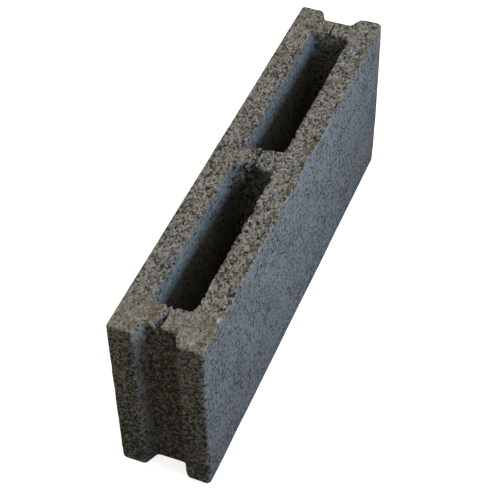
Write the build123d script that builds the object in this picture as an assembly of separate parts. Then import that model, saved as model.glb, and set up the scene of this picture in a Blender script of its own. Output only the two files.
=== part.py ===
"""A narrow hollow concrete masonry block, cast in one piece.

Two tapered cores run through it from bed to bed, a mortar groove runs straight up each end,
and the bar that hung the cores in the mould has left a slot across the three webs.
Millimetres. X runs along the block, Y across it and Z up.
The origin is at the centre of the lower bed face.
"""

import os
from math import atan, degrees

from build123d import *

# Overall work size: a 500 x 100 x 200 module less a 10 mm mortar joint
LENGTH = 490.0
WIDTH = 90.0
HEIGHT = 190.0

# Walls, measured at the upper bed where the cores are widest
FACE_SHELL = 25.0
CENTRE_WEB = 27.0
END_WALL = 24.5

# Mortar groove up each end, a trapezoid in plan
GROOVE_MOUTH = 42.0
GROOVE_FLOOR = 29.0
GROOVE_DEPTH = 14.0

# What each wall of a core leans in from the upper bed to the lower one
CORE_SHRINK = 2.0

# Rounded corners of the cores, and worn edges: upright corners, and the rims of the two beds
CORE_CORNER_RADIUS = 8.0
CORNER_RADIUS = 3.0
RIM_RADIUS = 2.0

# Slot that the core bar leaves in the upper bed, a little off the middle
BAR_SLOT_MOUTH = 7.0
BAR_SLOT_FLOOR = 2.0
BAR_SLOT_DEPTH = 6.0
BAR_SLOT_OFFSET = 2.0

# How far a cutting shape runs past the face that it opens
OVERRUN = 5.0

# Sizes that follow
CORE_LENGTH = (LENGTH - CENTRE_WEB) / 2 - GROOVE_DEPTH - END_WALL
CORE_WIDTH = WIDTH - 2 * FACE_SHELL
CORE_CENTRE = (CENTRE_WEB + CORE_LENGTH) / 2
ENDS = (-1, 1)


def channel(wide, narrow, depth):
    """A channel's section: wide at the Y axis, narrow at its floor towards +X, and opening on past the axis."""
    spread = (wide - narrow) / 2 / depth
    open_half = wide / 2 + OVERRUN * spread
    return Polygon(
        (-OVERRUN, -open_half),
        (depth, -narrow / 2),
        (depth, narrow / 2),
        (-OVERRUN, open_half),
        align=None,
    )


def core():
    """One core's void, about its own middle: its plan at the upper bed, narrowing to the lower one."""
    plan = RectangleRounded(CORE_LENGTH, CORE_WIDTH, CORE_CORNER_RADIUS)
    draft_angle = degrees(atan(CORE_SHRINK / HEIGHT))
    return extrude(Pos(0, 0, HEIGHT) * plan, amount=-HEIGHT, taper=draft_angle)


def groove():
    """One mortar groove's void, with its mouth on the Y axis and rounded corners at its floor."""
    plan = channel(GROOVE_MOUTH, GROOVE_FLOOR, GROOVE_DEPTH)
    floor_corners = plan.vertices().group_by(Axis.X)[-1]
    return extrude(fillet(floor_corners, CORNER_RADIUS), amount=HEIGHT)


def hollow_block():
    """The plain block with a core and a groove taken out of each half."""
    block = extrude(RectangleRounded(LENGTH, WIDTH, CORNER_RADIUS), amount=HEIGHT)
    for end in ENDS:
        inwards = 0 if end < 0 else 180
        block -= Pos(end * CORE_CENTRE, 0, 0) * core()
        block -= Pos(end * LENGTH / 2, 0, 0) * Rot(0, 0, inwards) * groove()
    return block


def wear_groove_mouths(block):
    """Round the upright edge where each cheek of an end face turns into its groove."""
    across = block.faces().filter_by(Axis.X).group_by(Axis.X)
    cheeks = across[0] + across[-1]
    mouth_edges = [cheek.edges().sort_by(lambda edge: abs(edge.center().Y))[0] for cheek in cheeks]
    return fillet(mouth_edges, CORNER_RADIUS)


def wear_rims(block):
    """Round every rim of the upper bed, and the outer rim of the lower bed."""
    upper_bed = block.faces().sort_by(Axis.Z)[-1]
    lower_bed = block.faces().sort_by(Axis.Z)[0]
    return fillet(upper_bed.edges() + lower_bed.outer_wire().edges(), RIM_RADIUS)


def core_bar():
    """The bar's trace: a tapered channel let into the upper bed along the whole block."""
    section = channel(BAR_SLOT_MOUTH, BAR_SLOT_FLOOR, BAR_SLOT_DEPTH)
    lengthwise = Plane(origin=(0, BAR_SLOT_OFFSET, HEIGHT), x_dir=(0, 0, -1), z_dir=(1, 0, 0))
    return lengthwise * extrude(section, amount=LENGTH / 2, both=True)


def concrete_block():
    """The worn hollow block, with the bar's slots cut last so that their edges stay sharp."""
    return wear_rims(wear_groove_mouths(hollow_block())) - core_bar()


os.makedirs("parts", exist_ok=True)
block = concrete_block()
export_step(block, "parts/concrete_block.step")
print("volume, litres", round(block.volume / 1e6, 3), "solids", len(block.solids()))
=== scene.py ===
# %% [markdown]
# # A hollow concrete block
#
# The real block is pressed from stiff, gravelly concrete in a steel mould and stripped while it is wet.
# Its upper bed was struck by a tamper and shows the grains. Its other faces were drawn along steel,
# which smeared a thin skin of cement over them. Handling has worn every edge since.
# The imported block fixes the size. This lesson lays a finer skin over it, wears it, pits it and paints it.

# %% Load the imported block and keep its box
from math import atan2, cos, pi, radians

import bpy
import numpy as np
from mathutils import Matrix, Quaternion, Vector


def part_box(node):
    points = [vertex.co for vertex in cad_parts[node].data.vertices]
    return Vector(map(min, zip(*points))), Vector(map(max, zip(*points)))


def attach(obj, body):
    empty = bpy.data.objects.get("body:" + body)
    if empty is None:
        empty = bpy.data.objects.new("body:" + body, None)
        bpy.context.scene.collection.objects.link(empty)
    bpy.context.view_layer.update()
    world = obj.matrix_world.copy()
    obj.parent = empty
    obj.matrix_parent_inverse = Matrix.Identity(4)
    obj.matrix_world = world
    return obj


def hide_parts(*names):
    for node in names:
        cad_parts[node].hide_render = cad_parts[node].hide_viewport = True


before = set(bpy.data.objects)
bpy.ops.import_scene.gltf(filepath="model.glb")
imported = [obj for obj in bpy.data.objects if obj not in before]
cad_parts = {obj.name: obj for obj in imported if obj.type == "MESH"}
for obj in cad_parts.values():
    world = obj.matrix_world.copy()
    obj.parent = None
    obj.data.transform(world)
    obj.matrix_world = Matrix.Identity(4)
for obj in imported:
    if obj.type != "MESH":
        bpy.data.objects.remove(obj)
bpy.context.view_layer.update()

MM = 0.001  # one millimetre, in the scene's metres
NODE = "concrete_block"
low, high = (np.array(corner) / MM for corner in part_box(NODE))
LENGTH, WIDTH, HEIGHT = high - low
print("block", LENGTH.round(1), "x", WIDTH.round(1), "x", HEIGHT.round(1), "mm")

# %% [markdown]
# ## Camera
#
# A view is settled by where the lens stands, what it looks at, how far it is rolled and how long it is.
# These could be found by trying. Here they were fitted to the block's own straight edges, so that the
# skin needs no fitting later. The focal length is kept in pixels of the square picture. Near, far, left and
# right below are as this camera sees the block.

# %% Set the camera
IMAGE_PX = 489
FOCAL_PX = 1379.0
SENSOR_MM = 36.0
LENS_AT = Vector((-914.7, -364.9, 1080.4)) * MM
LENS_AIM = Vector((0.0, 17.1, 64.8)) * MM
LENS_ROLL = radians(-1.19)

camera = bpy.data.objects.new("camera", bpy.data.cameras.new("camera"))
bpy.context.scene.collection.objects.link(camera)
bpy.context.scene.camera = camera
camera.data.sensor_width = SENSOR_MM
camera.data.lens = FOCAL_PX / IMAGE_PX * SENSOR_MM
camera.location = LENS_AT
camera.rotation_mode = "QUATERNION"
looking = (LENS_AIM - LENS_AT).to_track_quat("-Z", "Y")
camera.rotation_quaternion = looking @ Quaternion((0, 0, 1), LENS_ROLL)
print("lens", round(camera.data.lens, 1), "mm")

# %% [markdown]
# ## Colours and nodes
#
# Shaders work in linear light, and few people can picture a colour from linear numbers. So every colour is
# written as it looks on a screen, in sRGB hex, and one function turns it. Nodes could be joined by hand in
# the editor. Here one function adds a node, with its settings and its links, so that a script can do it.

# %% Helpers for colours and nodes
def linear(hex_colour):
    """Screen colour to linear light: c / 12.92 near black, else ((c + 0.055) / 1.055) to the power 2.4."""
    shares = [int(hex_colour[i : i + 2], 16) / 255 for i in (1, 3, 5)]
    return tuple(c / 12.92 if c <= 0.04045 else ((c + 0.055) / 1.055) ** 2.4 for c in shares) + (1.0,)


def add_node(tree, kind, inputs=None, stops=(), **settings):
    """A node of this kind. An input is a value or the socket that feeds it. Stops fill a colour ramp."""
    node = tree.nodes.new("ShaderNode" + kind)
    for name, value in settings.items():
        setattr(node, name, value)
    for name, value in (inputs or {}).items():
        if isinstance(value, bpy.types.NodeSocket):
            tree.links.new(value, node.inputs[name])
        else:
            node.inputs[name].default_value = value
    while stops and len(node.color_ramp.elements) < len(stops):
        node.color_ramp.elements.new(1.0)
    for i, (place, colour) in enumerate(stops):
        node.color_ramp.elements[i].position = place
        node.color_ramp.elements[i].color = linear(colour)
    return node


def empty_tree(owner):
    """The owner's node tree, with nothing in it."""
    owner.use_nodes = True
    owner.node_tree.nodes.clear()
    return owner.node_tree


view = bpy.context.scene.view_settings
view.view_transform = "Standard"
print("view transform", view.view_transform)

# %% [markdown]
# ## Studio
#
# A block in open shade is lit by cool sky from one side, more weakly and warmly from the other, and dimly
# from all round. A sky texture could give that. Two softboxes and an even surround are used instead, because
# the level and colour of each can be set alone. A lamp's power follows from the level that it gives at the
# block, where 1 is the plain level at which a colour renders as it is written. The floor and the surround
# are white to the camera alone, so that they don't flood the shaded end.

# %% An even surround, white to the camera
WHITE = "#FFFFFF"
SURROUND_LEVEL = 0.38
SURROUND_COLOUR = "#FDF8E6"


def seen_directly(tree):
    """1 for a ray from the camera, a mirror or glass, and 0 for a ray of bounced light."""
    path = add_node(tree, "LightPath")
    rays = [path.outputs[name] for name in ("Is Camera Ray", "Is Glossy Ray", "Is Transmission Ray")]
    either = add_node(tree, "Math", {0: rays[0], 1: rays[1]}, operation="MAXIMUM")
    return add_node(tree, "Math", {0: either.outputs[0], 1: rays[2]}, operation="MAXIMUM").outputs[0]


world = bpy.data.worlds.new("even surround")
bpy.context.scene.world = world
tree = empty_tree(world)
surround = add_node(tree, "Background", {"Color": linear(SURROUND_COLOUR), "Strength": SURROUND_LEVEL})
backdrop = add_node(tree, "Background", {"Color": linear(WHITE), "Strength": 1.0})
both = add_node(tree, "MixShader", {0: seen_directly(tree), 1: surround.outputs[0], 2: backdrop.outputs[0]})
add_node(tree, "OutputWorld", {"Surface": both.outputs[0]})
print("surround at", SURROUND_LEVEL, "of the plain level")

# %% Two softboxes: a long cool one at the side and a smaller warm one behind, in metres
KEY_LEVEL = 1.15
KEY_COLOUR = "#B8D7FF"
KEY_FROM = Vector((0.0, -1.6, 1.0))
KEY_SIZE = (1.3, 0.7)
BACK_LEVEL = 0.58
BACK_COLOUR = "#FFE2C2"
BACK_FROM = Vector((0.8, 1.45, 0.9))
BACK_SIZE = (0.9, 0.9)


def softbox(name, place, aim, size, level, colour):
    """A lamp whose power, level x pi squared x distance squared, gives that level at what it aims at."""
    lamp = bpy.data.lights.new(name, "AREA")
    lamp.shape = "RECTANGLE"
    lamp.size, lamp.size_y = size
    lamp.color = linear(colour)[:3]
    lamp.energy = level * pi**2 * (aim - place).length_squared
    ob = bpy.data.objects.new(name, lamp)
    ob.location = place
    ob.rotation_mode = "QUATERNION"
    ob.rotation_quaternion = (aim - place).to_track_quat("-Z", "Y")
    bpy.context.scene.collection.objects.link(ob)


middle = Vector((0, 0, HEIGHT / 2)) * MM
softbox("cool side softbox", KEY_FROM, middle, KEY_SIZE, KEY_LEVEL, KEY_COLOUR)
softbox("warm back softbox", BACK_FROM, middle, BACK_SIZE, BACK_LEVEL, BACK_COLOUR)

# %% A floor of matt white paper
FLOOR_HALF = 6.0
FLOOR_DROP = 0.3 * MM
FLOOR_WHITE = "#F7F7F7"
FLOOR_BOUNCE = "#6A645C"
FLOOR_LIFT = 0.75
paper = bpy.data.materials.new("matt white studio paper")
tree = empty_tree(paper)
bounce = add_node(tree, "BsdfDiffuse", {"Color": linear(FLOOR_BOUNCE)})
white = add_node(tree, "BsdfDiffuse", {"Color": linear(FLOOR_WHITE)})
lift = add_node(tree, "Emission", {"Color": linear(WHITE), "Strength": FLOOR_LIFT})
shown = add_node(tree, "AddShader", {0: white.outputs[0], 1: lift.outputs[0]})
both = add_node(tree, "MixShader", {0: seen_directly(tree), 1: bounce.outputs[0], 2: shown.outputs[0]})
add_node(tree, "OutputMaterial", {"Surface": both.outputs[0]})

corner_shares = np.array([(-1, -1), (1, -1), (1, 1), (-1, 1)])
floor_points = np.column_stack([corner_shares * FLOOR_HALF, np.full(len(corner_shares), -FLOOR_DROP)])
floor_mesh = bpy.data.meshes.new("studio_floor")
floor_mesh.from_pydata(floor_points.tolist(), [], [(0, 1, 2, 3)])
floor_mesh.materials.append(paper)
floor = bpy.data.objects.new("studio_floor", floor_mesh)
bpy.context.scene.collection.objects.link(floor)
print("floor", 2 * FLOOR_HALF, "m wide")

# %% [markdown]
# ## The plain skin
#
# Each half of the block is a ring round its core. A ring is easy to grid: one parameter runs round the
# core, the other over the section, which climbs the outer wall, crosses the upper bed, goes down the core
# and comes back along the lower bed. A boolean would give the same form with long thin faces that
# can't be worn, so the grid is worth its few lines. The upper bed has twice as many columns as the walls,
# because its grains show most, and a row of triangles joins the two.

# %% Sizes of the block's plan, in millimetres
FACE_SHELL = 25.0
CENTRE_WEB = 27.0
END_WALL = 24.5
GROOVE_MOUTH = 42.0
GROOVE_FLOOR = 29.0
GROOVE_DEPTH = 14.0
CORE_SHRINK = 2.0  # what each wall of a core leans in towards the lower bed
CORE_LENGTH = (LENGTH - CENTRE_WEB) / 2 - GROOVE_DEPTH - END_WALL
CORE_WIDTH = WIDTH - 2 * FACE_SHELL
CORE_CENTRE = (CENTRE_WEB + CORE_LENGTH) / 2

right_side, left_side = -WIDTH / 2, WIDTH / 2
end_face, groove_face = LENGTH / 2, LENGTH / 2 - GROOVE_DEPTH
OUTLINE = [
    (0, right_side),
    (end_face, right_side),
    (end_face, -GROOVE_MOUTH / 2),
    (groove_face, -GROOVE_FLOOR / 2),
    (groove_face, GROOVE_FLOOR / 2),
    (end_face, GROOVE_MOUTH / 2),
    (end_face, left_side),
    (0, left_side),
    (0, right_side),
]
core_from, core_to = CORE_CENTRE - CORE_LENGTH / 2, CORE_CENTRE + CORE_LENGTH / 2
CORE_OUTLINE = [
    (core_from, -CORE_WIDTH / 2),
    (core_to, -CORE_WIDTH / 2),
    (core_to, CORE_WIDTH / 2),
    (core_from, CORE_WIDTH / 2),
    (core_from, -CORE_WIDTH / 2),
]
# Corner radii of the cores at these places along the block, on the right and on the left
CORE_CORNER_PLACES = (-207, -13, 13, 207)
RIGHT_CORNER_RADII = (14.0, 7.0, 4.0, 6.0)
LEFT_CORNER_RADII = (9.0, 6.0, 5.0, 5.0)


def corner_radius(x, y):
    """Radius of the core corner nearest to each place."""
    right = np.interp(x, CORE_CORNER_PLACES, RIGHT_CORNER_RADII)
    left = np.interp(x, CORE_CORNER_PLACES, LEFT_CORNER_RADII)
    return np.where(y < 0, right, left)


print("core", CORE_LENGTH.round(1), "x", CORE_WIDTH.round(1), "mm")

# %% Steps of the grid
WALL_STEP = 1.7
UPPER_BED_ROWS = 30
LOWER_BED_ROWS = 4
CORE_ROWS = 14
CORE_ROW_POWER = 1.7  # crowds the core's rows towards its mouth
RIM_ZONE = 6.0  # the wall's rows are closer this near to its upper and lower edges
RIM_ZONE_ROWS = 4
WALL_ROWS = 34

runs = np.linalg.norm(np.diff(OUTLINE, axis=0), axis=1)
outline_counts = np.round(runs / WALL_STEP).astype(int)
side, *end_runs, other_side, web = outline_counts
core_counts = np.array([side, sum(end_runs), other_side, web])
print("columns round each core", outline_counts.sum())


# %% Paths round the outline and the cores
def along(corners, counts):
    """Points along straight runs: each run goes from corner to corner in its own number of equal steps."""
    parts = [np.linspace(a, b, n, endpoint=False) for a, b, n in zip(corners, corners[1:], counts)]
    return np.concatenate([*parts, [corners[-1]]])


def rounded(path, end):
    """A core's square path, with each corner's points pulled straight onto an arc of that corner's radius."""
    off_middle = path - (CORE_CENTRE, 0)
    radius = corner_radius(end * path[:, 0], path[:, 1])[:, None]
    straight = np.array((CORE_LENGTH, CORE_WIDTH)) / 2 - radius
    past = np.abs(off_middle) - straight
    corner = past.min(1) > 0
    past[corner] *= radius[corner] / np.linalg.norm(past[corner], axis=1, keepdims=True)
    return (CORE_CENTRE, 0) + np.sign(off_middle) * (straight + past)


def walked(plan):
    """Distance walked along a plan path, point by point."""
    return np.concatenate([[0], np.cumsum(np.linalg.norm(np.diff(plan, axis=0), axis=1))])


outline, fine_outline = along(OUTLINE, outline_counts), along(OUTLINE, 2 * outline_counts)
square_mouth, fine_square_mouth = along(CORE_OUTLINE, core_counts), along(CORE_OUTLINE, 2 * core_counts)
open_columns = outline_counts[:-1].sum() + 1  # the wall leaves out the run where the two halves meet
outer_run = walked(outline[:open_columns])[-1]
print("wall round each half", outer_run.round(1), "mm")


# %% Grids of points on walls and beds, and the faces between them
def raised(plan, heights):
    """A wall's grid, rows by columns: every point of the plan at every height."""
    rows, columns = len(heights), len(plan)
    z = np.broadcast_to(np.reshape(heights, (rows, 1, 1)), (rows, columns, 1))
    return np.concatenate([np.broadcast_to(plan, (rows, columns, 2)), z], 2)


def spanned(outer, inner, rows, height):
    """A bed's grid: each row is a share of the way from the outer path to the inner one, at one height."""
    share = np.linspace(0, 1, rows + 1).reshape(-1, 1, 1)
    plan = outer * (1 - share) + inner * share
    return np.concatenate([plan, np.full(plan.shape[:2] + (1,), height)], 2)


def unrolled(grid, plan):
    """A wall's flattened places: distance walked along its plan, and height."""
    return np.stack([np.broadcast_to(walked(plan), grid.shape[:2]), grid[:, :, 2]], 2)


def cells(rows, columns):
    """Four corner numbers for each cell of a grid whose points are numbered row by row."""
    first = (np.arange(rows - 1)[:, None] * columns + np.arange(columns - 1)).ravel()
    return np.column_stack([first, first + 1, first + columns + 1, first + columns])


def stitches(fine, coarse):
    """Three triangles for each step of a coarse row, beside the two steps of the fine row along it."""
    a, b, c = fine[:-1:2], fine[1::2], fine[2::2]
    p, q = coarse[:-1], coarse[1:]
    return np.concatenate([np.column_stack(t) for t in ((a, p, b), (p, q, b), (b, q, c))])


rim_heights = [HEIGHT, HEIGHT - RIM_ZONE, RIM_ZONE, 0]
wall_heights = along(rim_heights, (RIM_ZONE_ROWS, WALL_ROWS, RIM_ZONE_ROWS))
core_heights = HEIGHT * (1 - np.linspace(0, 1, CORE_ROWS + 1) ** CORE_ROW_POWER)
print("rows on a wall", len(wall_heights), "and in a core", len(core_heights))

# %% A flat sheet of places for a texture
SHEET_GAP = 6.0
HALF_SCALE = 0.5  # the core walls and the lower bed get half the texture's scale
bed_level = 2 * (HEIGHT + SHEET_GAP)
well_level = bed_level + WIDTH + SHEET_GAP
base_level = well_level + HALF_SCALE * HEIGHT + SHEET_GAP
print("sheet", outer_run.round(), "x", (base_level + HALF_SCALE * WIDTH).round(), "mm")

# %% Lay out both rings
ENDS = (-1, 1)
point_parts, foot_parts, give_parts, fade_parts = [], [], [], []
sheet_parts, quad_parts, stitch_parts = [], [], []


def backwards(outer, inner):
    """Steps of one millimetre from a core's mouth towards the outline, column by column."""
    return (outer - inner) / np.linalg.norm(outer - inner, axis=1, keepdims=True)


def lay(grid, end, sheet_at, sheet_axes, foot=None, give=(0, 0), fade=1):
    """Keeps a grid's points, turned to this end, and what goes with them. Returns the points' numbers.

    The foot is the place on a core's mouth whose crumbling moves a point. Give is the way it moves, and
    fade is how much of that the point follows.
    """
    first = sum(len(part) for part in point_parts)
    numbers = first + np.arange(grid.shape[0] * grid.shape[1]).reshape(grid.shape[:2])
    feet = np.broadcast_to(grid if foot is None else foot, grid.shape)
    point_parts.append((grid * (end, 1, 1)).reshape(-1, 3))
    foot_parts.append((feet * (end, 1, 1)).reshape(-1, 3))
    give_parts.append((np.broadcast_to(give, grid.shape[:2] + (2,)) * (end, 1)).reshape(-1, 2))
    fade_parts.append(np.broadcast_to(fade, grid.shape[:2]).ravel())
    sheet_parts.append(np.add(sheet_axes, sheet_at).reshape(-1, 2))
    quad_parts.append(numbers.ravel()[cells(*numbers.shape)])
    return numbers


# The crumbling of a lip fades over the bed, to nothing at the outline
bed_fade = np.linspace(0, 1, UPPER_BED_ROWS + 1).reshape(-1, 1) ** 2
for row, end in enumerate(ENDS):
    mouth, fine_mouth = rounded(square_mouth, end), rounded(fine_square_mouth, end)
    bed = spanned(fine_outline, fine_mouth, UPPER_BED_ROWS, HEIGHT)
    bed_at = (LENGTH / 2, bed_level + WIDTH / 2)
    bed_give = backwards(fine_outline, fine_mouth)
    bed_numbers = lay(bed, end, bed_at, bed[:, :, :2] * (end, 1), bed[-1], bed_give, bed_fade)
    wall = raised(outline[:open_columns], wall_heights[1:])
    wall_at = (0, row * (HEIGHT + SHEET_GAP))
    wall_numbers = lay(wall, end, wall_at, unrolled(wall, outline[:open_columns]))
    well = raised(mouth, core_heights[1:])
    well_at = (row * HALF_SCALE * outer_run, well_level)
    well_give = backwards(outline, mouth)
    well_numbers = lay(well, end, well_at, HALF_SCALE * unrolled(well, mouth), give=well_give)
    base = spanned(outline, mouth, LOWER_BED_ROWS, 0)
    base_at = (HALF_SCALE * LENGTH / 2, base_level + HALF_SCALE * WIDTH / 2)
    lay(base, end, base_at, HALF_SCALE * base[:, :, :2] * (end, 1))
    stitch_parts.append(stitches(bed_numbers[0, : 2 * open_columns - 1], wall_numbers[0]))
    stitch_parts.append(stitches(bed_numbers[-1], well_numbers[0]))
print("grids", len(point_parts), "and rows of triangles", len(stitch_parts))

# %% Weld the points that lie on one place
WELD_DECIMALS = 2
laid, sheet = np.concatenate(point_parts), np.concatenate(sheet_parts)
quads, triangles = np.concatenate(quad_parts), np.concatenate(stitch_parts)
_, first_use, weld = np.unique(laid.round(WELD_DECIMALS), axis=0, return_index=True, return_inverse=True)
plain, weld = laid[first_use], weld.ravel()
foot, give, fade = (np.concatenate(parts)[first_use] for parts in (foot_parts, give_parts, fade_parts))
print("points", len(plain), "triangles", 2 * len(quads) + len(triangles))

# %% [markdown]
# ## Chance
#
# Concrete is grains thrown together by chance, so the skin needs chance that falls the same way each run.
# A whole-number cell is hashed to random shares. From them come a smooth noise, and the distance to the
# nearest of many scattered grain centres. Blender's own noise gives one value per call, so these are
# written to work on whole arrays.

# %% Random shares for whole-number cells
HASH_PRIMES = np.array([0x8DA6B343, 0xD8163841, 0xCB1AB31F], np.uint32)
HASH_STEPS = ((15, 0x2C1B3C6D), (12, 0x297A2D39))
HASH_SEED = 0x9E3779B9
HASH_SIZE = 2**32
BYTE_BITS, BYTE = 8, 255


def scatter(cell, seed):
    """Four random shares for each cell: its numbers times primes, folded, multiplied and cut into bytes."""
    mixed = (cell.astype(np.int64).astype(np.uint32) * HASH_PRIMES).sum(1, dtype=np.uint32)
    mixed += np.uint32(seed * HASH_SEED % HASH_SIZE)
    for shift, factor in HASH_STEPS:
        mixed = (mixed ^ (mixed >> np.uint32(shift))) * np.uint32(factor)
    mixed ^= mixed >> np.uint32(HASH_STEPS[0][0])
    return np.column_stack([(mixed >> np.uint32(BYTE_BITS * i)) & np.uint32(BYTE) for i in range(4)]) / BYTE


NEIGHBOURS = np.array(np.meshgrid([-1, 0, 1], [-1, 0, 1], [-1, 0, 1])).reshape(3, -1).T
print("mean of the four shares", scatter(NEIGHBOURS, seed=0).mean(0).round(2))

# %% Smooth noise, and distances to grain centres
CORNERS = np.array(np.meshgrid([0, 1], [0, 1], [0, 1])).reshape(3, -1).T


def eased(t):
    """0 below 0, 1 above 1 and 3t^2 - 2t^3 between."""
    t = np.clip(t, 0, 1)
    return t * t * (3 - 2 * t)


def between(value, limits):
    """0 below the first limit, 1 above the second and eased between them."""
    return eased((value - limits[0]) / (limits[1] - limits[0]))


def drift(p, size, seed):
    """Smooth noise from -1 to 1: random values at the corners of cells this size, blended by easing."""
    q = p / size
    cell = np.floor(q)
    t = eased(q - cell)
    total = np.zeros(len(p))
    for corner in CORNERS:
        weight = np.prod(np.where(corner, t, 1 - t), axis=1)
        total += weight * scatter(cell + corner, seed)[:, 0]
    return 2 * total - 1


def grains(p, size, seed):
    """Distance to the nearest grain centre, one to a cell, in cells, and that grain's own number."""
    q = p / size
    cell = np.floor(q)
    nearest = np.full(len(p), np.inf)
    own = np.zeros(len(p))
    for step in NEIGHBOURS:
        shares = scatter(cell + step, seed)
        gap = np.linalg.norm(cell + step + shares[:, :3] - q, axis=1)
        closer = gap < nearest
        nearest[closer] = gap[closer]
        own[closer] = shares[closer, 3]
    return nearest, own


to_centre, _ = grains(NEIGHBOURS / 2, size=1, seed=0)
print("mean distance to a grain centre", to_centre.mean().round(2), "of a cell")

# %% [markdown]
# ## Wear
#
# An edge of concrete wears round, more at corners and where it was knocked, and a core's lip loses grains.
# The bar that held the core moulds has left a slot across the webs, which tore wide at the near core.
# A bevel would round every edge alike. Instead the worn block is written as a distance: how far a point lies
# outside all the faces, with a smooth maximum whose band grows where the wear is heavy. A core's lip crumbles
# first, along the grid's own columns, so that no column crosses another. Then each point walks along the
# slope of that distance until it stands on the surface.

# %% The bar's slot: a steep right flank, a floor line and a sloping left flank that fade along the block
SLOT_LINE = 1.4
SLOT_LEFT = 5.6
SLOT_RIGHT = 1.8
SLOT_PLACES = (-231, -222, -214, -207, -16, -13, -9, -4, 4, 14, 207, 221, 228)
SLOT_WIDTH_SHARES = (1.1, 0.8, 0.4, 0.2, 2.6, 2.2, 1.0, 0.45, 0.35, 0.3, 0.32, 0.32, 0.0)
SLOT_DEPTHS = (5.5, 4.5, 2.0, 0.4, 16.0, 13.0, 6.0, 4.0, 3.0, 1.5, 3.0, 3.0, 0.0)
SLOT_LEAST_SHARE = 0.05
SLOT_WAVER = 1.2
SLOT_WAVER_SIZE = 5.0


def slot_drop(p):
    """How far the slot lets the bed down: its depth times the lesser of the two flanks' straight rises."""
    share = np.interp(p[:, 0], SLOT_PLACES, SLOT_WIDTH_SHARES) + SLOT_LEAST_SHARE
    off_line = (p[:, 1] - SLOT_LINE - SLOT_WAVER * drift(p, SLOT_WAVER_SIZE, seed=61)) / share
    rise = np.minimum((SLOT_LEFT - off_line) / SLOT_LEFT, (SLOT_RIGHT + off_line) / SLOT_RIGHT).clip(0, 1)
    return np.interp(p[:, 0], SLOT_PLACES, SLOT_DEPTHS) * rise


print("slot's deepest drop", slot_drop(plain).max().round(1), "mm")

# %% The worn block as a distance
GROOVE_CORNER_BAND = 3.0
# Concrete that stuck in one corner of the near core, under its lip
CLOG_PLACE, CLOG_REACH = (-13.5, 20.0, 168.0), (20.0, 20.0, 12.0)
CLOG_RADIUS = 12.0
flank_slope = (GROOVE_MOUTH - GROOVE_FLOOR) / 2 / GROOVE_DEPTH
flank_cos = cos(atan2(flank_slope, 1))


def smooth_max(a, b, band):
    """The larger of two distances, plus (band - |a - b|)^2 / 4 band where they are closer than the band."""
    near = np.maximum(band - np.abs(a - b), 0)
    return np.maximum(a, b) + near * near / (4 * band)


def bell(p, place, reach):
    """1 at a place, falling off as a bell curve with this reach along each axis."""
    return np.exp(-(((p - place) / reach) ** 2).sum(1) / 2)


def core_distance(p):
    """Distance outside the nearer core: a rounded rectangle that shrinks from the upper bed to the lower."""
    x, y, z = np.abs(p).T
    lean = CORE_SHRINK * (1 - z / HEIGHT)
    radius = corner_radius(p[:, 0], p[:, 1]) + CLOG_RADIUS * bell(p, CLOG_PLACE, CLOG_REACH)
    over_x = np.abs(x - CORE_CENTRE) - (CORE_LENGTH / 2 - lean - radius)
    over_y = y - (CORE_WIDTH / 2 - lean - radius)
    past_corner = np.hypot(np.maximum(over_x, 0), np.maximum(over_y, 0))
    return past_corner + np.minimum(np.maximum(over_x, over_y), 0) - radius


def block_distance(p, upright, rim, lip):
    """Distance outside the block: the maximum over outline, grooves, cores and beds, smooth at worn edges."""
    x, y, z = p.T
    plan = smooth_max(np.abs(x) - LENGTH / 2, np.abs(y) - WIDTH / 2, upright)
    depth = LENGTH / 2 - np.abs(x)
    flank = (np.abs(y) - (GROOVE_MOUTH / 2 - depth * flank_slope)) * flank_cos
    groove = smooth_max(depth - GROOVE_DEPTH, flank, GROOVE_CORNER_BAND)
    plan = smooth_max(plan, -groove, upright)
    plan = np.maximum(plan, lip - core_distance(p))
    beds = np.maximum(z - (HEIGHT - slot_drop(p)), -z)
    return smooth_max(plan, beds, rim)


print("farthest point from a core", core_distance(plain).max().round(1), "mm")

# %% How far each edge is worn
# Widths of the worn bands at these heights
BAND_HEIGHTS = (0.0, 60.0, 190.0)
UPRIGHT_BANDS = (6.0, 3.0, 1.6)
RIM_BANDS = (1.6, 1.3, 1.3)
BAND_LEAST = 0.3
BAND_NOISE_SIZES = (6.0, 20.0)
BAND_NOISE_SHARE = 0.35
# A core's lip loses whole grains, fewer of them further down
LIP_GRAIN = 3.4
LIP_LOSS = 4.4
LIP_STAND = 0.5  # how far a grain that stayed stands out over the core
LIP_DEPTH = 5.0
# Knocks: where, how far they reach along each axis and how wide a band they add
UPRIGHT_KNOCKS = [
    ((245.0, -45.0, 0.0), (20.0, 20.0, 14.0), 3.0),
    ((245.0, -45.0, 190.0), (20.0, 20.0, 12.0), 3.0),
    ((245.0, 0.0, 190.0), (25.0, 60.0, 40.0), 2.5),
]
RIM_KNOCKS = [
    ((-13.5, 12.0, 190.0), (8.0, 8.0, 8.0), 4.0),
    ((-245.0, 20.0, 190.0), (5.0, 5.0, 5.0), 2.0),
]
# Burrs that hang over a core's lip, or the lack of them, in the same form
LIP_BURRS = [
    ((-206.0, 4.0, 190.0), (6.0, 14.0, 20.0), 2.4),
    ((13.0, -16.0, 190.0), (4.0, 8.0, 20.0), 2.2),
    ((-12.0, -1.0, 190.0), (6.0, 4.0, 12.0), -3.0),
    ((207.0, 0.0, 190.0), (7.0, 16.0, 20.0), -2.0),
]


def worn_band(p, widths, knocks):
    """Width of a worn band: set by height, uneven by two noises, and wider by a bell curve at each knock."""
    uneven = sum(drift(p, size, seed) for seed, size in enumerate(BAND_NOISE_SIZES))
    band = np.interp(p[:, 2], BAND_HEIGHTS, widths) * (1 + BAND_NOISE_SHARE * uneven)
    for place, reach, added in knocks:
        band += added * bell(p, place, reach)
    return np.maximum(band, BAND_LEAST)


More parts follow.
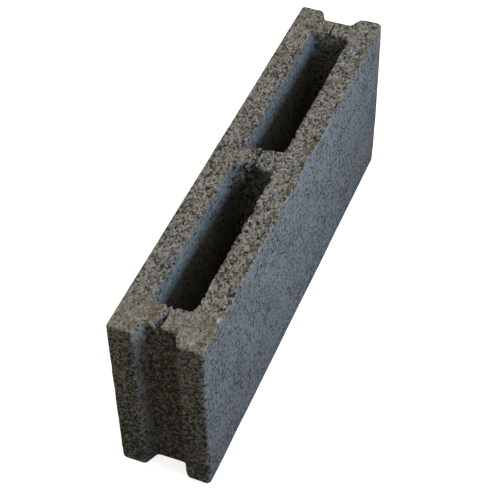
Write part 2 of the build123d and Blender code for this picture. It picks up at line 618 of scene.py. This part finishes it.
def lip_loss(p):
    """How far a core's lip crumbled: the grain's number squared, less stand and burrs, fading downwards."""
    _, own = grains(p, LIP_GRAIN, seed=41)
    burr = sum(amount * bell(p, place, reach) for place, reach, amount in LIP_BURRS)
    return (LIP_LOSS * own**2 - LIP_STAND - burr) * np.exp((p[:, 2] - HEIGHT) / LIP_DEPTH)


print("knocks", len(UPRIGHT_KNOCKS) + len(RIM_KNOCKS), "burrs", len(LIP_BURRS))

# %% Crumble the lips, and let the slot into the bed
SLOT_REACH = 30.0
crumbling = np.column_stack([give, np.zeros(len(give))]) * lip_loss(foot)[:, None]
crumbled = plain + crumbling * fade[:, None]
lip = (core_distance(foot + crumbling) - core_distance(foot)) * give.any(1)
under_slot = between(crumbled[:, 2], (HEIGHT - SLOT_REACH, HEIGHT))
worn = crumbled - np.outer(slot_drop(crumbled) * under_slot, (0, 0, 1))
print("most crumbling", np.linalg.norm(crumbling, axis=1).max().round(1), "mm")

# %% Walk every point onto the worn block
SLOPE_STEP = 0.05
WALK_STEPS = 5
upright = worn_band(worn, UPRIGHT_BANDS, UPRIGHT_KNOCKS)
rim = worn_band(worn, RIM_BANDS, RIM_KNOCKS)


def slope_of(distance, p):
    """Gradient of a distance, from its change over a short step each way along each axis."""
    steps = SLOPE_STEP * np.eye(3)
    return np.column_stack([(distance(p + e) - distance(p - e)) / (2 * SLOPE_STEP) for e in steps])


def outside(p):
    """Distance outside the block, with each point's own bands and lip."""
    return block_distance(p, upright, rim, lip)


for _ in range(WALK_STEPS):
    slope = slope_of(outside, worn)
    worn = worn - slope * (outside(worn) / (slope**2).sum(1))[:, None]
slope = slope_of(outside, worn)
normal = slope / np.linalg.norm(slope, axis=1)[:, None]
print("most wear, mm", np.abs(worn - plain).max().round(1), "left off", np.abs(outside(worn)).max().round(3))

# %% [markdown]
# ## Grains and gaps
#
# Grains stand in the struck bed like domes. The tamper levels them, so only what lies below a cut stays
# open as a gap. A displacement texture could do that. Here the gaps are worked out on the points, where the
# paint can use them again. They go straight down and are softened, so that hardly any face folds over. The
# drawn faces have much finer pits, left to the paint. A worn mould lets the outer walls swell by about half a
# millimetre.

# %% What each point's face is like
SLOT_DROPS = (0.0, 1.5)  # how far a point has to drop before it counts as in the slot
SLOT_HEIGHTS = (HEIGHT - 9.0, HEIGHT - 6.0)
STRUCK_TILTS, SIDE_TILTS = (0.35, 0.75), (0.45, 0.8)  # shares of a normal along Z, and along Y
NEAR_END_ZONE = (185.0, 215.0)
BED_SHARE = 0.9  # points that are struck this much count as the open bed
in_slot = between(slot_drop(worn), SLOT_DROPS) * between(worn[:, 2], SLOT_HEIGHTS)
struck = between(normal[:, 2], STRUCK_TILTS) * (1 - in_slot)
along_side = between(np.abs(normal[:, 1]), SIDE_TILTS) * (1 - struck) * (1 - in_slot)
on_end = (1 - struck) * (1 - along_side) * (1 - in_slot)
near_end = between(-worn[:, 0], NEAR_END_ZONE)
on_bed = struck > BED_SHARE
print("shares struck, side, end", [part.mean().round(2) for part in (struck, along_side, on_end)])

# %% Domes of the grains
LARGE_GRAIN, LARGE_RADIUS, LARGE_MISSING = 3.2, 0.72, 0.3
SMALL_GRAIN, SMALL_RADIUS, SMALL_MISSING = 2.0, 0.78, 0.12
SMALL_RISE = 0.9
GRAIN_WARP = 0.8
GRAIN_WARP_SIZE = 3.0
GRAIN_WARP_SEEDS = (51, 52, 53)


def grain_domes(p):
    """Height of the higher of two domes, 1 - (distance / radius)^2, and that grain's own number."""
    warp = np.column_stack([drift(p, GRAIN_WARP_SIZE, seed) for seed in GRAIN_WARP_SEEDS])
    bent = p + GRAIN_WARP * warp
    large, large_own = grains(bent, LARGE_GRAIN, seed=11)
    small, small_own = grains(bent, SMALL_GRAIN, seed=12)
    large_dome = (1 - (large / LARGE_RADIUS) ** 2) * (large_own > LARGE_MISSING)
    small_dome = SMALL_RISE * (1 - (small / SMALL_RADIUS) ** 2) * (small_own > SMALL_MISSING)
    return np.maximum(large_dome, small_dome), np.where(large_dome > small_dome, large_own, small_own)


dome, own_tone = grain_domes(worn)
print("mean height of the domes", dome[on_bed].mean().round(2))

# %% Soften a value over the mesh
edge_ends = weld[np.concatenate([quads, np.roll(quads, 1, axis=1)]).reshape(2, -1)]


def softened(values):
    """Half each point's own value, and half the mean of its neighbours along four-sided faces' edges."""
    one, other = np.concatenate([edge_ends, edge_ends[::-1]], axis=1)
    neighbours = np.bincount(one, minlength=len(values))
    return values / 2 + np.bincount(one, values[other], len(values)) / neighbours / 2


print("edges, counted face by face", edge_ends.shape[1])

# %% Gaps below the cut, and lost stones
BED_CUT = 0.52
BED_CUT_SPREAD = 0.18
BED_CUT_PATCH = 28.0
# Fine sand fills some of the gaps, and most of them at the near end
FINES_SIZE = 3.5
FINES_LEAST = 0.2
FINES_LEVEL = 0.62
NEAR_END_FINES = 0.75
# Stones torn out of the bed: where, and how far each hollow reaches
LOST_STONES = [
    ((-1.5, -3.5, 190.0), (1.6, 1.0, 3.0)),
    ((-3.5, -7.5, 190.0), (1.8, 1.0, 3.0)),
    ((-1.8, -10.5, 190.0), (1.0, 1.5, 3.0)),
    ((-6.0, -17.0, 190.0), (1.8, 1.3, 3.0)),
    ((5.9, 39.0, 190.0), (2.0, 1.4, 3.0)),
    ((2.0, 43.0, 190.0), (1.4, 1.4, 3.0)),
    ((54.0, 30.4, 190.0), (1.8, 1.3, 3.0)),
    ((-55.0, 30.0, 190.0), (2.2, 1.6, 3.0)),
]
# The rough face that the slot tore under the lip of the near core
TORN_PLACE, TORN_REACH = (-16.0, 12.0, 177.0), (9.0, 8.0, 11.0)
MIDDLE_TONE = 0.5
cut = BED_CUT * (1 + BED_CUT_SPREAD * drift(worn, BED_CUT_PATCH, seed=23))
left_open = FINES_LEAST + (1 - FINES_LEAST) * eased(FINES_LEVEL + drift(worn, FINES_SIZE, seed=24))
left_open *= 1 - NEAR_END_FINES * near_end * struck
torn = bell(worn, TORN_PLACE, TORN_REACH)
lost = sum(bell(worn, place, reach) for place, reach in LOST_STONES) * struck
open_grain = np.clip(1 - dome / cut, 0, 1) * left_open * np.maximum(np.maximum(struck, in_slot), torn)
hollow = np.clip(open_grain + lost, 0, 1)
tone = own_tone * struck + MIDDLE_TONE * (1 - struck)
print("hollow on the bed", hollow[on_bed].mean().round(3))

# %% The swell of the outer walls
SWELL = 0.5
SWELL_SIZE = 35.0
SWELL_SPREAD = 0.4
SWELL_FADE = 4.0
to_box = np.maximum(np.abs(worn[:, 0]) - LENGTH / 2, np.abs(worn[:, 1]) - WIDTH / 2)
outer_wall = (1 - normal[:, 2] ** 2) * between(to_box, (-SWELL_FADE, 0))
swell = SWELL * (1 + SWELL_SPREAD * drift(worn, SWELL_SIZE, seed=22)) * outer_wall
print("most swell", swell.max().round(2), "mm")

# %% Shape the skin
BED_DEPTH = 3.0
LEVEL_TILTS = (0.7, 1.0)  # gaps are shallower where the bed turns down into its rims
level = 1 - struck * (1 - between(normal[:, 2], LEVEL_TILTS))
sunk = BED_DEPTH * softened(hollow) * level
downwards = normal + struck[:, None] * ((0, 0, 1) - normal)
shaped = worn - downwards * sunk[:, None] + normal * swell[:, None]
print("deepest gap", sunk.max().round(2), "mm")

# %% [markdown]
# ## Paste, openness, dirt and painted shade, and stains
#
# More facts are kept on the points for the paint. Paste says how thickly cement covers the grains: well on
# the long faces and core walls, thinly on the ends, not at all on the struck bed. Openness says how many
# pits are left. A darkening fact paints shade at the feet of the walls, deep in the cores and towards
# the ends of the long faces, paints dirt and shade in the grooves and along the slot, and darkens the torn
# face. The upper core walls get painted shade of their own. Stain says where rust-brown water has dried:
# along the right upper edge, at the near end, and beside the cores and the slot.
# They could be painted by hand on an image, but numbers on the points need no image and follow the form.

# %% Paste and openness on every point
SIDE_PASTE, END_PASTE, SLOT_PASTE = 0.9, 0.15, 0.4
BED_OPEN, NEAR_END_OPEN, SIDE_OPEN, END_OPEN, SLOT_OPEN = 0.5, 0.34, 0.65, 0.82, 0.75
OPEN_SPREAD = 0.2
OPEN_PATCH = 24.0
# What these places add to the openness
GROOVE_OPEN, FOOT_OPEN, CORE_OPEN, TORN_OPEN = 0.26, 0.1, -0.1, 0.25
LOST_OPEN, EDGE_OPEN = 0.35, 0.15
GROOVE_DEPTHS = (6.0, 12.0)
EDGE_OFF, EDGE_REACH = 3.5, 2.5
CORE_NEAR = 1.0  # a point this near to a core lies on its wall
to_core = core_distance(worn)
in_core = to_core < CORE_NEAR
core_wall = in_core * (along_side + on_end) * (1 - torn)
in_groove = between(LENGTH / 2 - np.abs(worn[:, 0]), GROOVE_DEPTHS) * on_end * ~in_core
at_foot = 1 - worn[:, 2] / HEIGHT
to_right_edge = worn[:, 1] + WIDTH / 2
at_right_edge = np.exp(-(((to_right_edge - EDGE_OFF) / EDGE_REACH) ** 2)) * struck
paste = SIDE_PASTE * along_side + END_PASTE * on_end + SLOT_PASTE * in_slot
bed_open = BED_OPEN + (NEAR_END_OPEN - BED_OPEN) * near_end
openness = bed_open * struck + SIDE_OPEN * along_side + END_OPEN * on_end + SLOT_OPEN * in_slot
openness *= 1 + OPEN_SPREAD * drift(worn, OPEN_PATCH, seed=32)
openness += GROOVE_OPEN * in_groove + FOOT_OPEN * at_foot * on_end + CORE_OPEN * core_wall
openness += TORN_OPEN * torn * (1 - struck) + LOST_OPEN * lost + EDGE_OPEN * at_right_edge
print("paste", paste.mean().round(2), "openness", openness.mean().round(2))

# %% Darkening: painted shade and dirt, and painted shade on the upper core walls
# Painted shade at the feet and deep in the cores, dirt and painted shade in the grooves, a darker torn face
SIDE_FOOT_SHADE, END_FOOT_SHADE, GROOVE_DIRT_AND_SHADE, CORE_DEPTH_SHADE, TORN_DARKENING = 0.36, 0.22, 0.14, 0.12, 0.45
# Painted shade on the long faces towards their ends, and where along the block it grows
SIDE_END_SHADE, SIDE_END_SHADE_ZONE = 0.12, (60.0, 210.0)
# Dirt and painted shadow along the slot's floor line, and how far off that line it lies
SLOT_LINE_DIRT_AND_SHADOW, SLOT_SHADOW_OFF = 0.9, 0.8
# Over these depths the painted shade of the upper core walls gives way to the painted shade deep in the cores
CORE_SHADE_DEPTHS = (0.0, 45.0)
deep_in_core = between(HEIGHT - worn[:, 2], CORE_SHADE_DEPTHS)
# Painted shade on the upper core walls
upper_core_shade = core_wall * (1 - deep_in_core)
# Painted shade at the feet of the walls
dirt_and_shade = (SIDE_FOOT_SHADE * along_side + END_FOOT_SHADE * on_end) * at_foot
# Dirt and painted shade in the grooves, painted shade deep in the cores, and a darker torn face
dirt_and_shade += GROOVE_DIRT_AND_SHADE * in_groove + CORE_DEPTH_SHADE * in_core * deep_in_core + TORN_DARKENING * torn * (1 - struck)
# Painted shade on the long faces towards their ends
dirt_and_shade += SIDE_END_SHADE * along_side * between(np.abs(worn[:, 0]), SIDE_END_SHADE_ZONE) * ~in_core
# Dirt and painted shadow along the slot's floor line
dirt_and_shade += SLOT_LINE_DIRT_AND_SHADOW * in_slot * np.exp(-((worn[:, 1] - SLOT_LINE + SLOT_SHADOW_OFF) ** 2))
# The 'skin' share printed here is the painted shade on the upper core walls
print("dirt_and_shade", dirt_and_shade.mean().round(3), "skin", upper_core_shade.mean().round(3))

# %% Stains and pale chips
# Stain spots: where, how far they reach and how strong they are
STAIN_SPOTS = [
    ((-238.0, 26.0, 190.0), (2.5, 2.5, 3.0), 1.0),
    ((-221.0, 12.0, 190.0), (5.0, 2.0, 3.0), 1.0),
    ((-211.0, 12.0, 190.0), (3.0, 2.5, 3.0), 1.0),
    ((-203.0, 25.0, 190.0), (3.0, 3.0, 3.0), 0.8),
    ((-180.0, 27.0, 190.0), (3.0, 2.5, 3.0), 0.9),
    ((-226.0, -41.0, 190.0), (5.0, 2.0, 3.0), 1.0),
    ((-208.0, -41.0, 190.0), (4.0, 2.0, 3.0), 0.9),
    ((-4.0, 9.0, 190.0), (5.0, 3.0, 3.0), 0.9),
    ((9.0, 19.0, 190.0), (4.0, 2.0, 3.0), 0.8),
    ((221.0, 10.0, 190.0), (6.0, 3.0, 3.0), 0.7),
]
# Pale chips, in the same form
PALE_CHIPS = [
    ((-205.5, -43.0, 189.5), (2.4, 1.0, 2.0), 1.0),
    ((-237.0, -32.0, 190.0), (1.5, 1.5, 2.0), 0.5),
    ((-163.0, -35.0, 190.0), (1.2, 1.0, 2.0), 0.7),
    ((-14.5, 6.5, 186.0), (1.5, 1.5, 1.5), 0.8),
    ((-16.0, 12.0, 174.0), (1.5, 1.5, 1.5), 0.8),
]
EDGE_STAIN, FAR_EDGE_LOSS, FAR_ZONE = 1.0, 0.6, (0.0, 150.0)
NEAR_END_STAIN = 0.2
LIP_STAIN, LIP_STAIN_REACH, LIP_STAIN_FROM = 0.6, 4.0, 5.0
STAIN_PATCH = 14.0
PATCH_LEVEL = 0.5
patchy = eased(PATCH_LEVEL + drift(worn, STAIN_PATCH, seed=31))
stain = EDGE_STAIN * at_right_edge * patchy * (1 - FAR_EDGE_LOSS * between(worn[:, 0], FAR_ZONE))
stain += NEAR_END_STAIN * near_end
stain += LIP_STAIN * np.exp(-((to_core / LIP_STAIN_REACH) ** 2)) * patchy * (worn[:, 1] > LIP_STAIN_FROM)
stain += sum(strength * bell(worn, place, reach) for place, reach, strength in STAIN_SPOTS)
stain = np.clip(stain, 0, 1) * struck
pale = sum(strength * bell(worn, place, reach) for place, reach, strength in PALE_CHIPS)
print("stain", stain.mean().round(3), "pale", pale.mean().round(4))

# %% [markdown]
# ## One closed mesh
#
# The block is one piece, so its skin is one mesh with no edge left open. It could be built face by face with
# Blender's own tools. Here whole arrays are handed over, which takes a moment. Each face is turned outwards
# by the plain block, on which nothing has moved yet. Every point carries its facts, and every corner of a
# face its place on the flat sheet.

# %% Turn every face outwards
corner_points, corner_places, starts = [], [], []
start = 0
for laid_corners in (quads, triangles):
    corners = weld[laid_corners]
    p = plain[corners]
    facing = np.cross(p[:, 2] - p[:, 0], p[:, -1] - p[:, 1])
    inward = (facing * normal[corners].mean(1)).sum(1) < 0
    turned = np.where(inward[:, None], laid_corners[:, ::-1], laid_corners)
    corner_points.append(weld[turned].ravel())
    corner_places.append(sheet[turned].reshape(-1, 2))
    starts.append(start + np.arange(len(turned)) * turned.shape[1])
    start += turned.size
print("corners of faces", start)

# %% Put the skin into a mesh
skin = bpy.data.meshes.new(NODE + "_skin")
skin.vertices.add(len(shaped))
skin.vertices.foreach_set("co", (shaped * MM).ravel())
skin.loops.add(start)
skin.loops.foreach_set("vertex_index", np.concatenate(corner_points))
skin.polygons.add(sum(len(part) for part in starts))
skin.polygons.foreach_set("loop_start", np.concatenate(starts))
skin.update(calc_edges=True)
skin.polygons.foreach_set("use_smooth", np.ones(len(skin.polygons), bool))
print("points", len(skin.vertices), "faces", len(skin.polygons))

# %% Facts on the points, and places for a texture
# The 'skin' fact and the darkening fact steer painted shade, and 'hollow' darkens the gaps with dirt and
# shade
facts = {"hollow": hollow, "tone": tone, "paste": paste, "open": openness}
facts |= {"dirt_and_shade": dirt_and_shade, "skin": upper_core_shade, "stain": stain, "pale": pale}
for name, values in facts.items():
    skin.attributes.new(name, "FLOAT", "POINT").data.foreach_set("value", values)
places = np.concatenate(corner_places)
places = (places - places.min(0)) / np.ptp(places, axis=0).max()
skin.uv_layers.new(name="OFBake").uv.foreach_set("vector", places.ravel())
print("facts", list(facts))

# %% Check that the skin is closed, and let it replace the plain block
edge_numbers = np.empty(len(skin.loops), np.int32)
skin.loops.foreach_get("edge_index", edge_numbers)
print("edges not shared by two faces", (np.bincount(edge_numbers) != 2).sum())
print("mesh repaired" if skin.validate() else "mesh valid")

block = bpy.data.objects.new(NODE + "_skin", skin)
bpy.context.scene.collection.objects.link(block)
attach(block, "root")
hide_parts(NODE)

# %% [markdown]
# ## The finish: vibro-pressed concrete
#
# Crushed gravel and sand in grey cement, pressed and never polished, so nothing shines and every grain has
# its own tone. Cement paste is cool grey, and the bared sand is warmer. Dark pits lie between the grains,
# painted with dirt and with the shade that falls in them. A photograph wrapped round the block would hold
# one block's light. Patterns worked out in millimetres, and steered by the facts on the points, hold in any
# light, apart from the shade that is painted among them.

# %% Coordinates in millimetres, and the facts kept on the points
concrete = bpy.data.materials.new("vibro-pressed concrete")
tree = empty_tree(concrete)
place = add_node(tree, "TexCoord").outputs["Object"]
in_mm = add_node(tree, "Mapping", {"Vector": place, "Scale": (1 / MM,) * 3}).outputs[0]
fact = {name: add_node(tree, "Attribute", attribute_name=name).outputs["Fac"] for name in facts}
# Which sockets of a Mix node take and give numbers, and which take and give colours
NUMBER_A, NUMBER_B, NUMBER_OUT = 2, 3, 0
COLOUR_A, COLOUR_B, COLOUR_OUT = 6, 7, 2
print("facts that steer the paint", len(fact))

# %% Grains of sand, each with its own tone
SAND_MM = 1.9
WARP_MM = 1.2
WARP_SIZE_MM = 2.5
WARP_DETAIL = 2.0
TONE_SHARE = 0.25  # how much the mesh's own grains count in the tone
GRAIN_STOPS = [
    (0.0, "#4E4B43"),
    (0.25, "#756F65"),
    (0.5, "#888277"),
    (0.75, "#979183"),
    (0.93, "#A6A092"),
    (1.0, "#C6C2B6"),
]
bent = add_node(tree, "TexNoise", {"Vector": in_mm, "Scale": 1 / WARP_SIZE_MM, "Detail": WARP_DETAIL})
warp = add_node(tree, "VectorMath", {0: bent.outputs["Color"], 1: (WARP_MM,) * 3}, operation="MULTIPLY")
wobbled = add_node(tree, "VectorMath", {0: in_mm, 1: warp.outputs[0]}, operation="ADD").outputs[0]
sand = add_node(tree, "TexVoronoi", {"Vector": wobbled, "Scale": 1 / SAND_MM})
# Three random values of each grain
tone_luck, stain_luck, cover_luck = add_node(tree, "SeparateColor", {0: sand.outputs["Color"]}).outputs
tone_mix = {0: TONE_SHARE, NUMBER_A: tone_luck, NUMBER_B: fact["tone"]}
grain_tone = add_node(tree, "Mix", tone_mix).outputs[NUMBER_OUT]
grain_colour = add_node(tree, "ValToRGB", {0: grain_tone}, stops=GRAIN_STOPS).outputs[0]
print("sand grains of", SAND_MM, "mm")

# %% Cement paste, cloudy, over the grains
CLOUD_MM = 30.0
CLOUD_DETAIL = 6.0
PASTE_STOPS = [(0.3, "#83827E"), (0.7, "#93928E")]
THINNEST_PASTE = 0.5
cloud_inputs = {"Vector": in_mm, "Scale": 1 / CLOUD_MM, "Detail": CLOUD_DETAIL}
cloud = add_node(tree, "TexNoise", cloud_inputs).outputs[0]
paste_colour = add_node(tree, "ValToRGB", {0: cloud}, stops=PASTE_STOPS).outputs[0]
cover = add_node(tree, "MapRange", {"Value": cover_luck, "To Min": THINNEST_PASTE}).outputs[0]
cover = add_node(tree, "Math", {0: fact["paste"], 1: cover}, operation="MULTIPLY").outputs[0]
paste_mix = {0: cover, COLOUR_A: grain_colour, COLOUR_B: paste_colour}
covered = add_node(tree, "Mix", paste_mix, data_type="RGBA").outputs[COLOUR_OUT]
print("clouds in the paste of", CLOUD_MM, "mm")

# %% Painted shade on the upper core walls, in a cool dark grey
CORE_SHADE_COLOUR = "#5A655F"
CORE_SHADE_SHARE = 0.55
core_shade_share = add_node(tree, "Math", {0: fact["skin"], 1: CORE_SHADE_SHARE}, operation="MULTIPLY").outputs[0]
core_shade_mix = {0: core_shade_share, COLOUR_A: covered, COLOUR_B: linear(CORE_SHADE_COLOUR)}
core_shaded = add_node(tree, "Mix", core_shade_mix, data_type="RGBA").outputs[COLOUR_OUT]
# The share of the cool dark grey painted as shade on the upper core walls
print("skin in the cores covers", CORE_SHADE_SHARE)

# %% Painted shade at the feet, in the cores, grooves and slot, and dirt in the grooves and the slot
# A dark brown for the painted shade, and for the dirt in the grooves and the slot
DIRT_AND_SHADE_COLOUR = "#33291F"
dirt_and_shade_mix = {0: fact["dirt_and_shade"], COLOUR_A: core_shaded, COLOUR_B: linear(DIRT_AND_SHADE_COLOUR)}
body = add_node(tree, "Mix", dirt_and_shade_mix, data_type="RGBA").outputs[COLOUR_OUT]
print("soil covers at most", dirt_and_shade.max().round(2))

# %% Dark gaps, painted with dirt and shade: the mesh's own hollows, and pits too small for the mesh
GAP_MM = 2.3
GAP_FLATNESS = 1.3  # pressing flattened them along Z
GAP_DETAIL, GAP_ROUGHNESS = 3.0, 0.65
GAP_SOFTNESS = 0.15
CLUMP_MM, CLUMP_DETAIL = 5.0, 0.0
CLUMP_SHARE, GRAIN_SHARE = 0.32, 0.14
SHUT_GAP_LEVEL, OPEN_GAP_LEVEL = 0.57, 0.83
# How far the mesh's hollows are darkened: dirt, and painted shade for the shadow in them
HOLLOW_DIRT_AND_SHADE = 0.66
PIT_DIRT_AND_SHADE_COLOUR = "#24211C"
pressed = add_node(tree, "Mapping", {"Vector": in_mm, "Scale": (1, 1, GAP_FLATNESS)}).outputs[0]
speckle_inputs = {"Vector": pressed, "Scale": 1 / GAP_MM, "Detail": GAP_DETAIL, "Roughness": GAP_ROUGHNESS}
speckle = add_node(tree, "TexNoise", speckle_inputs).outputs[0]
level_inputs = {"Value": fact["open"], "To Min": SHUT_GAP_LEVEL, "To Max": OPEN_GAP_LEVEL}
gap_level = add_node(tree, "MapRange", level_inputs).outputs[0]
clump_inputs = {"Vector": pressed, "Scale": 1 / CLUMP_MM, "Detail": CLUMP_DETAIL}
clump = add_node(tree, "TexNoise", clump_inputs).outputs[0]
above = add_node(tree, "Math", {0: clump, 1: CLUMP_SHARE, 2: speckle}, operation="MULTIPLY_ADD").outputs[0]
above = add_node(tree, "Math", {0: tone_luck, 1: GRAIN_SHARE, 2: above}, operation="MULTIPLY_ADD").outputs[0]
below = add_node(tree, "Math", {0: gap_level, 1: above}, operation="SUBTRACT").outputs[0]
gap = add_node(tree, "MapRange", {"Value": below, "From Max": GAP_SOFTNESS}).outputs[0]
# The hollows and the small pits are painted towards near black, for dirt and the shade in them
deep = add_node(tree, "Math", {0: fact["hollow"], 1: HOLLOW_DIRT_AND_SHADE}, operation="MULTIPLY").outputs[0]
dark = add_node(tree, "Math", {0: deep, 1: gap}, operation="MAXIMUM").outputs[0]
pit_dirt_and_shade_mix = {0: dark, COLOUR_A: body, COLOUR_B: linear(PIT_DIRT_AND_SHADE_COLOUR)}
pitted = add_node(tree, "Mix", pit_dirt_and_shade_mix, data_type="RGBA").outputs[COLOUR_OUT]
print("pits of", GAP_MM, "mm in clumps of", CLUMP_MM, "mm")

# %% Rust-brown stain, on some grains more than others
STAIN_COLOUR = "#655336"
LEAST_TAKEN, MOST_TAKEN = 0.2, 0.95
TAKING_FROM, TAKING_TO = 0.3, 0.5
grain_range = {"Value": stain_luck, "From Min": TAKING_FROM, "From Max": TAKING_TO}
take_range = {"To Min": LEAST_TAKEN, "To Max": MOST_TAKEN}
taken_up = add_node(tree, "MapRange", grain_range | take_range).outputs[0]
stain_share = add_node(tree, "Math", {0: fact["stain"], 1: taken_up}, operation="MULTIPLY").outputs[0]
stain_mix = {0: stain_share, COLOUR_A: pitted, COLOUR_B: linear(STAIN_COLOUR)}
stained = add_node(tree, "Mix", stain_mix, data_type="RGBA").outputs[COLOUR_OUT]
print("stain spots", len(STAIN_SPOTS))

# %% Pale chips, where a knock bared fresh cement
CHIP_COLOUR = "#D2CEC6"
chip_mix = {0: fact["pale"], COLOUR_A: stained, COLOUR_B: linear(CHIP_COLOUR)}
chipped = add_node(tree, "Mix", chip_mix, data_type="RGBA").outputs[COLOUR_OUT]
print("pale chips", len(PALE_CHIPS))

# %% Bump and shader
GRIT_MM, GRIT_DETAIL = 0.9, 4.0
GRIT_RISE, GAP_FALL, GRAIN_FALL = 0.4, -1.2, -1.0
BUMP_MM = 0.8
BUMP_STRENGTH = 0.6
ROUGHNESS = 0.95
GLOSS = 0.1  # open pores leave hardly any smooth skin to reflect
grit_inputs = {"Vector": in_mm, "Scale": 1 / GRIT_MM, "Detail": GRIT_DETAIL}
grit = add_node(tree, "TexNoise", grit_inputs).outputs[0]
from_middle = sand.outputs["Distance"]
grain_dome = add_node(tree, "Math", {0: from_middle, 1: GRAIN_FALL}, operation="MULTIPLY").outputs[0]
lowered = add_node(tree, "Math", {0: dark, 1: GAP_FALL, 2: grain_dome}, operation="MULTIPLY_ADD").outputs[0]
rough = add_node(tree, "Math", {0: grit, 1: GRIT_RISE, 2: lowered}, operation="MULTIPLY_ADD").outputs[0]
bump = add_node(tree, "Bump", {"Height": rough, "Strength": BUMP_STRENGTH, "Distance": BUMP_MM * MM})
matte = {"Roughness": ROUGHNESS, "Specular IOR Level": GLOSS}
shader = add_node(tree, "BsdfPrincipled", {"Base Color": chipped, "Normal": bump.outputs[0]} | matte)
add_node(tree, "OutputMaterial", {"Surface": shader.outputs[0]})
skin.materials.append(concrete)
print("nodes in the concrete", len(tree.nodes))
